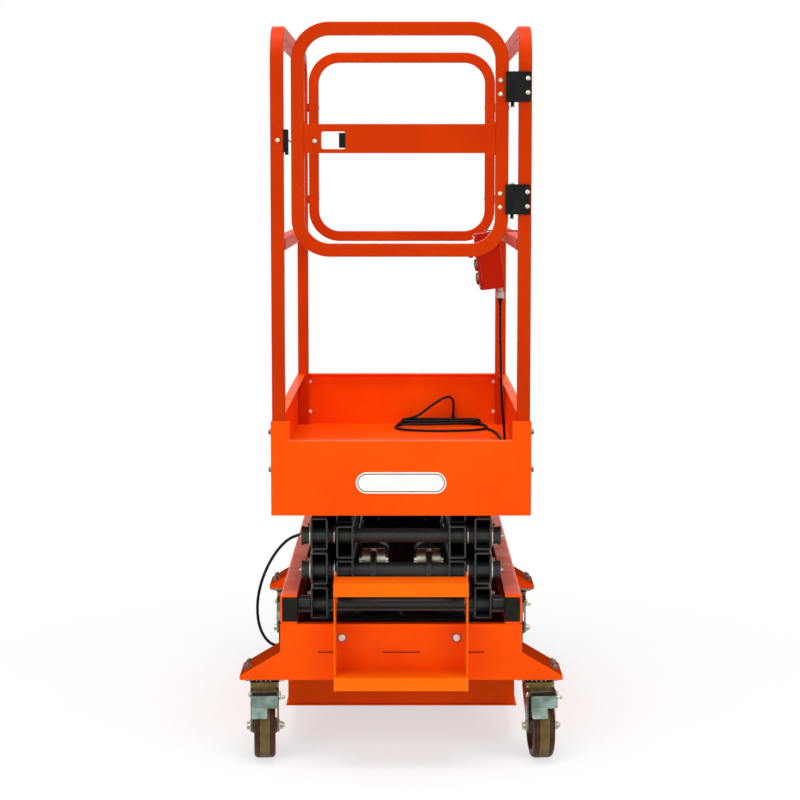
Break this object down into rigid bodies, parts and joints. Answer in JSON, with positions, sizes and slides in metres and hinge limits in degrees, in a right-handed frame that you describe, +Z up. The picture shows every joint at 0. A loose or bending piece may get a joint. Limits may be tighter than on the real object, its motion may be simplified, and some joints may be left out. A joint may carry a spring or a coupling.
{
  "type": "push-around scissor lift",
  "caption": "Compact push-around scissor lift: orange steel base on swivel casters, black folded scissor arms with lift cylinders, and a guarded deck with an inward gate.",
  "frame": {"origin": "on the floor, under the middle of the machine's outline", "axes": "+X to the right seen from the gate end, +Y from the gate end to the back, +Z up"},
  "size_m": [0.758, 1.258, 1.715],
  "materials": {
    "orange_paint": "satin powder coat",
    "black_paint": "satin black enamel",
    "black_rubber": "matt",
    "roller_nylon": "machined nylon",
    "zinc_steel": "bright zinc plate",
    "wheel_urethane": "cast polyurethane, scuffed",
    "black_coating": "black coat",
    "grey_plastic": "moulded",
    "black_plastic": "moulded",
    "red_plastic": "glossy",
    "red_box": "red enamel",
    "black_cable": "soft sheath",
    "dark_case": "moulded case"
  },
  "bodies": {
    "base": {"side_rail_left": "orange_paint", "side_rail_right": "orange_paint", "rail_end_blocks": "black_rubber", "front_end_frame": "orange_paint", "rear_end_frame": "orange_paint", "chassis_tray": "orange_paint", "power_pack": "dark_case", "access_step": "orange_paint", "base_pivot_bosses": "black_paint", "cylinder_mount": "orange_paint", "caster_plates": "zinc_steel", "side_cord_gland": "grey_plastic", "lift_cord": "black_cable"},
    "outer_lower": {"outer_arms_lower": "black_paint"},
    "inner_lower": {"inner_arms_lower": "black_paint", "base_rollers": "roller_nylon"},
    "outer_middle": {"outer_arms_middle": "black_paint"},
    "inner_middle": {"inner_arms_middle": "black_paint"},
    "outer_upper": {"outer_arms_upper": "black_paint", "deck_rollers": "roller_nylon"},
    "inner_upper": {"inner_arms_upper": "black_paint"},
    "barrels": {"cylinder_barrels": "black_paint"},
    "rods": {"cylinder_rods": "zinc_steel"},
    "deck": {"deck_floor": "orange_paint", "deck_channel_left": "orange_paint", "deck_channel_right": "orange_paint", "deck_pivot_lugs": "orange_paint", "front_panel": "orange_paint", "toe_board_left": "orange_paint", "toe_board_right": "orange_paint", "toe_board_back": "orange_paint", "side_guard_left": "orange_paint", "side_guard_right": "orange_paint", "back_guard": "orange_paint", "post_hinge_leaves": "black_coating", "latch_striker": "black_coating", "control_box": "red_box", "stop_button": "red_plastic", "control_buttons": "black_plastic", "box_cord_gland": "grey_plastic", "deck_cord_gland": "black_plastic", "control_cord_drop": "black_cable", "control_cord_loop": "black_cable", "control_cord_coil": "black_cable"},
    "gate": {"gate_frame": "orange_paint", "gate_band": "orange_paint", "gate_latch": "black_coating", "gate_hinge_leaves": "black_coating"},
    "fork_front_left": {"caster_fork_front_left": "zinc_steel"},
    "wheel_front_left": {"caster_wheel_front_left": "wheel_urethane"},
    "fork_front_right": {"caster_fork_front_right": "zinc_steel"},
    "wheel_front_right": {"caster_wheel_front_right": "wheel_urethane"},
    "fork_rear_left": {"caster_fork_rear_left": "zinc_steel"},
    "wheel_rear_left": {"caster_wheel_rear_left": "wheel_urethane"},
    "fork_rear_right": {"caster_fork_rear_right": "zinc_steel"},
    "wheel_rear_right": {"caster_wheel_rear_right": "wheel_urethane"}
  },
  "joints": [
    {"name": "lift", "type": "hinge", "parent": "base", "child": "outer_lower", "pos_m": [0, -0.476, 0.358], "axis": [1, 0, 0], "range_deg": [0, 51.5]},
    {"name": "inner_lower_fold", "type": "hinge", "parent": "outer_lower", "child": "inner_lower", "pos_m": [0, 0.04238, 0.399], "axis": [1, 0, 0], "range_deg": [-103.5, 0]},
    {"name": "outer_middle_fold", "type": "hinge", "parent": "inner_lower", "child": "outer_middle", "pos_m": [0, -0.476, 0.44], "axis": [1, 0, 0], "range_deg": [0, 103.5]},
    {"name": "inner_middle_fold", "type": "hinge", "parent": "outer_middle", "child": "inner_middle", "pos_m": [0, 0.04238, 0.481], "axis": [1, 0, 0], "range_deg": [-103.5, 0]},
    {"name": "outer_upper_fold", "type": "hinge", "parent": "inner_middle", "child": "outer_upper", "pos_m": [0, -0.476, 0.522], "axis": [1, 0, 0], "range_deg": [0, 103.5]},
    {"name": "inner_upper_fold", "type": "hinge", "parent": "outer_upper", "child": "inner_upper", "pos_m": [0, 0.04238, 0.563], "axis": [1, 0, 0], "range_deg": [-103.5, 0]},
    {"name": "deck_level", "type": "hinge", "parent": "inner_upper", "child": "deck", "pos_m": [0, -0.476, 0.604], "axis": [1, 0, 0], "range_deg": [0, 52]},
    {"name": "cylinder_tilt", "type": "hinge", "parent": "base", "child": "barrels", "pos_m": [0, 0.474, 0.3], "axis": [1, 0, 0], "range_deg": [-34.89, 0]},
    {"name": "rod_slide", "type": "slide", "parent": "barrels", "child": "rods", "axis": [0, -0.9857, 0.1688], "range_m": [0, 0.3633]},
    {"name": "gate_hinge", "type": "hinge", "parent": "deck", "child": "gate", "pos_m": [0.256, -0.502, 0], "axis": [0, 0, -1], "range_deg": [0, 90]},
    {"name": "swivel_front_left", "type": "hinge", "parent": "base", "child": "fork_front_left", "pos_m": [-0.325, -0.472, 0.1767], "axis": [0, 0, 1], "continuous": true},
    {"name": "roll_front_left", "type": "hinge", "parent": "fork_front_left", "child": "wheel_front_left", "pos_m": [-0.32186, -0.51689, 0.075], "axis": [0.9976, 0.0698, 0], "continuous": true},
    {"name": "swivel_front_right", "type": "hinge", "parent": "base", "child": "fork_front_right", "pos_m": [0.325, -0.472, 0.1767], "axis": [0, 0, 1], "continuous": true},
    {"name": "roll_front_right", "type": "hinge", "parent": "fork_front_right", "child": "wheel_front_right", "pos_m": [0.32892, -0.51683, 0.075], "axis": [0.9962, 0.0872, 0], "continuous": true},
    {"name": "swivel_rear_left", "type": "hinge", "parent": "base", "child": "fork_rear_left", "pos_m": [-0.325, 0.56, 0.1767], "axis": [0, 0, 1], "continuous": true},
    {"name": "roll_rear_left", "type": "hinge", "parent": "fork_rear_left", "child": "wheel_rear_left", "pos_m": [-0.325, 0.515, 0.075], "axis": [1, 0, 0], "continuous": true},
    {"name": "swivel_rear_right", "type": "hinge", "parent": "base", "child": "fork_rear_right", "pos_m": [0.325, 0.56, 0.1767], "axis": [0, 0, 1], "continuous": true},
    {"name": "roll_rear_right", "type": "hinge", "parent": "fork_rear_right", "child": "wheel_rear_right", "pos_m": [0.32265, 0.51506, 0.075], "axis": [0.9986, -0.0523, 0], "continuous": true}
  ],
  "couplings": [
    {"joint": "inner_lower_fold", "follows": "lift", "ratio": -2},
    {"joint": "outer_middle_fold", "follows": "lift", "ratio": 2},
    {"joint": "inner_middle_fold", "follows": "lift", "ratio": -2},
    {"joint": "outer_upper_fold", "follows": "lift", "ratio": 2},
    {"joint": "inner_upper_fold", "follows": "lift", "ratio": -2},
    {"joint": "deck_level", "follows": "lift", "ratio": 1},
    {"joint": "cylinder_tilt", "follows": "lift", "ratio": -0.66786},
    {"joint": "rod_slide", "follows": "lift", "m_per_rad": 0.39977}
  ]
}
